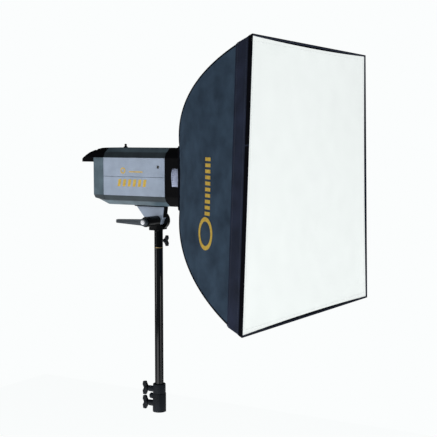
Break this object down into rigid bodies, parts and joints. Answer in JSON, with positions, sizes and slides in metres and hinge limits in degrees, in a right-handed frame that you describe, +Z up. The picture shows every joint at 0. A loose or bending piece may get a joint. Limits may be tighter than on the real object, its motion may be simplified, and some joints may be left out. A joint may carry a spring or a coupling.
{
  "type": "monolight strobe",
  "caption": "Monolight strobe head with a square softbox on a clamped stand column, with a tilting bracket, sliding column, turning speed ring and working rear controls.",
  "frame": {"origin": "centre of the open foot of the clamp coupler, on the column's axis", "axes": "+X the way the light shines, +Z up along the column, +Y the head's left-hand side"},
  "size_m": [0.623, 0.6, 0.8805],
  "materials": {
    "case_paint": "die cast, satin slate powder paint",
    "silver_panel": "satin silver lacquer",
    "black_moulding": "fine moulded grain",
    "panel_black": "matt",
    "button_grey": "satin",
    "red_plastic": "glossy",
    "lock_ring": "grooved, satin anodised",
    "speed_ring": "cast, satin",
    "zinc_steel": "zinc plated",
    "black_metal": "glossy black lacquer",
    "black_casting": "cast, black enamel",
    "lever_grey": "satin moulding",
    "bright_cap": "polished",
    "brass_band": "polished",
    "coupler_black": "moulded nylon",
    "box_fabric": "black nylon, woven",
    "lip_fabric": "stiffened nylon with hook tape",
    "diffuser_fabric": "white nylon, fine weave",
    "tube_glass": "clear",
    "lamp_ceramic": "glazed ceramic holder",
    "capacitor_sleeve": "shrink sleeve",
    "board": "solder mask"
  },
  "bodies": {
    "coupler": {"clamp_coupler": "coupler_black", "coupler_screw": "zinc_steel"},
    "upper_knob": {"upper_knob": "coupler_black"},
    "lower_knob": {"lower_knob": "coupler_black"},
    "column": {"column_tube": "black_metal", "column_band": "brass_band", "column_spigot": "zinc_steel"},
    "tilt_base": {"tilt_yoke": "black_casting", "tilt_bolt": "zinc_steel", "tilt_nut": "zinc_steel"},
    "socket_screw": {"socket_screw": "coupler_black"},
    "tilt_lever": {"tilt_lever": "lever_grey", "lever_cap": "bright_cap"},
    "head": {"casing_upper": "case_paint", "casing_lower": "case_paint", "side_panel_right_upper": "silver_panel", "side_panel_right_lower": "silver_panel", "side_panel_left_upper": "silver_panel", "side_panel_left_lower": "silver_panel", "side_screw_right": "black_metal", "side_screw_left": "black_metal", "rear_cover": "case_paint", "rear_handle": "black_moulding", "control_panel": "panel_black", "potentiometer": "zinc_steel", "mains_inlet": "black_moulding", "switch_housing": "black_moulding", "fuse_cap": "black_moulding", "sync_socket": "zinc_steel", "ready_lamp": "red_plastic", "slave_sensor": "black_moulding", "front_bezel": "black_moulding", "bezel_cover_plate": "black_moulding", "reflector_bulkhead": "speed_ring", "flash_tube": "tube_glass", "modelling_lamp": "tube_glass", "lamp_holder": "lamp_ceramic", "capacitor_right": "capacitor_sleeve", "capacitor_left": "capacitor_sleeve", "power_board": "board", "tilt_lug": "silver_panel", "lug_edge_guard": "black_moulding", "bracket_pad": "black_moulding"},
    "lock_ring": {"lock_ring": "lock_ring"},
    "softbox": {"speed_ring": "speed_ring", "rod_top_right": "zinc_steel", "rod_top_left": "zinc_steel", "rod_bottom_right": "zinc_steel", "rod_bottom_left": "zinc_steel", "softbox_side_right": "box_fabric", "softbox_side_left": "box_fabric", "softbox_side_top": "box_fabric", "softbox_side_bottom": "box_fabric", "front_lip": "lip_fabric", "front_diffuser": "diffuser_fabric"},
    "power_dial": {"power_dial": "black_moulding"},
    "lamp_button": {"lamp_button": "button_grey"},
    "slave_button": {"slave_button": "button_grey"},
    "test_button": {"test_button": "red_plastic"},
    "mains_rocker": {"mains_rocker": "red_plastic"}
  },
  "joints": [
    {"name": "column_slide", "type": "slide", "parent": "coupler", "child": "column", "axis": [0, 0, 1], "range_m": [-0.3, 0]},
    {"name": "upper_knob_turn", "type": "hinge", "parent": "coupler", "child": "upper_knob", "pos_m": [-0.0114, 0, 0.054], "axis": [1, 0, 0], "range_deg": [-180, 0]},
    {"name": "lower_knob_turn", "type": "hinge", "parent": "coupler", "child": "lower_knob", "pos_m": [-0.0131, 0, 0.0178], "axis": [1, 0, 0], "range_deg": [-180, 0]},
    {"name": "head_pan", "type": "hinge", "parent": "column", "child": "tilt_base", "pos_m": [0, 0, 0.4115], "axis": [0, 0, 1], "continuous": true},
    {"name": "socket_screw_turn", "type": "hinge", "parent": "tilt_base", "child": "socket_screw", "pos_m": [0.0087, 0, 0.428], "axis": [1, 0, 0], "range_deg": [-180, 0]},
    {"name": "head_tilt", "type": "hinge", "parent": "tilt_base", "child": "head", "pos_m": [0, 0, 0.4765], "axis": [0, 1, 0], "range_deg": [-50, 40]},
    {"name": "tilt_lever_turn", "type": "hinge", "parent": "tilt_base", "child": "tilt_lever", "pos_m": [0, -0.056, 0.4765], "axis": [0, 1, 0], "range_deg": [-50, 50]},
    {"name": "lock_ring_turn", "type": "hinge", "parent": "head", "child": "lock_ring", "pos_m": [0.087, 0, 0.5845], "axis": [1, 0, 0], "range_deg": [0, 30]},
    {"name": "softbox_spin", "type": "hinge", "parent": "head", "child": "softbox", "pos_m": [0.1075, 0, 0.5845], "axis": [1, 0, 0], "continuous": true},
    {"name": "power_dial_turn", "type": "hinge", "parent": "head", "child": "power_dial", "pos_m": [-0.1548, 0, 0.6005], "axis": [1, 0, 0], "range_deg": [-140, 140]},
    {"name": "mains_rocker_tilt", "type": "hinge", "parent": "head", "child": "mains_rocker", "pos_m": [-0.1545, -0.01, 0.5575], "axis": [0, 1, 0], "range_deg": [0, 18]},
    {"name": "lamp_button_press", "type": "slide", "parent": "head", "child": "lamp_button", "axis": [1, 0, 0], "range_m": [0, 0.0015], "stiffness_N_per_m": 300, "springref_m": -0.001},
    {"name": "slave_button_press", "type": "slide", "parent": "head", "child": "slave_button", "axis": [1, 0, 0], "range_m": [0, 0.0015], "stiffness_N_per_m": 300, "springref_m": -0.001},
    {"name": "test_button_press", "type": "slide", "parent": "head", "child": "test_button", "axis": [1, 0, 0], "range_m": [0, 0.0015], "stiffness_N_per_m": 300, "springref_m": -0.001}
  ]
}
